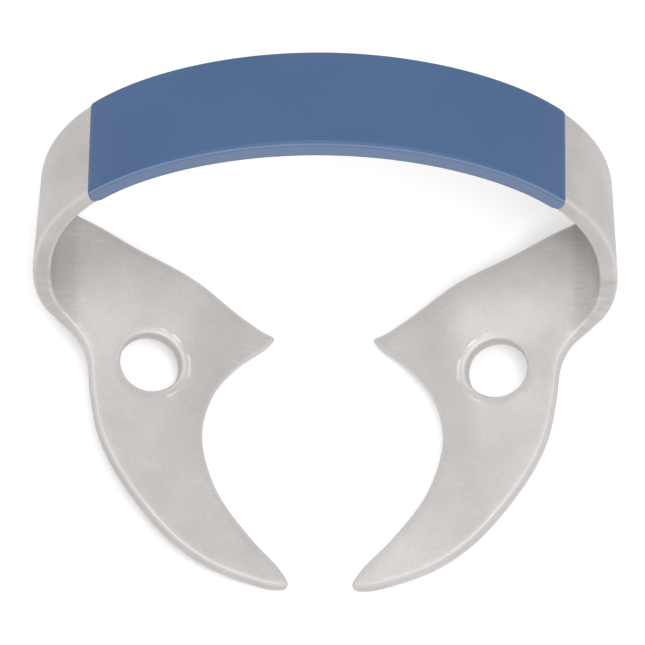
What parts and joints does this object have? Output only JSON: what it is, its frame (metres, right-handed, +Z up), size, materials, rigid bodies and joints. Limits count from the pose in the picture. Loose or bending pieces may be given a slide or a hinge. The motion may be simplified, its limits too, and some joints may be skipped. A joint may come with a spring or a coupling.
{
  "type": "rubber dam clamp",
  "caption": "Wingless rubber dam clamp: a springy steel bow with a blue colour coat, and jaws with forceps holes, long front prongs and short rear prongs that grip a molar at its neck.",
  "frame": {"origin": "under the middle of the clamp, at the level of the prongs' lowest point", "axes": "+X from the left jaw to the right jaw, +Y towards the back of the mouth, +Z up from the gum with the plane of the jaws level"},
  "size_m": [0.027, 0.0228, 0.013],
  "materials": {
    "spring_steel": "satin, finely blasted",
    "blue_coat": "semi-matt"
  },
  "bodies": {
    "bow": {"bow_crown": "spring_steel", "crown_color_coat": "blue_coat"},
    "right_side": {"right_bow_side": "spring_steel", "right_color_coat": "blue_coat", "right_jaw": "spring_steel"},
    "left_side": {"left_bow_side": "spring_steel", "left_color_coat": "blue_coat", "left_jaw": "spring_steel"}
  },
  "joints": [
    {"name": "right_side_flex", "type": "hinge", "parent": "bow", "child": "right_side", "pos_m": [0.00699, 0.00789, 0.01037], "axis": [0.0292, -0.9324, 0.3603], "range_deg": [0, 14], "stiffness_Nm_per_rad": 0.8},
    {"name": "left_side_flex", "type": "hinge", "parent": "bow", "child": "left_side", "pos_m": [-0.00699, 0.00789, 0.01037], "axis": [0.0292, 0.9324, -0.3603], "range_deg": [0, 14], "stiffness_Nm_per_rad": 0.8}
  ],
  "couplings": [
    {"joint": "left_side_flex", "follows": "right_side_flex", "ratio": 1}
  ]
}
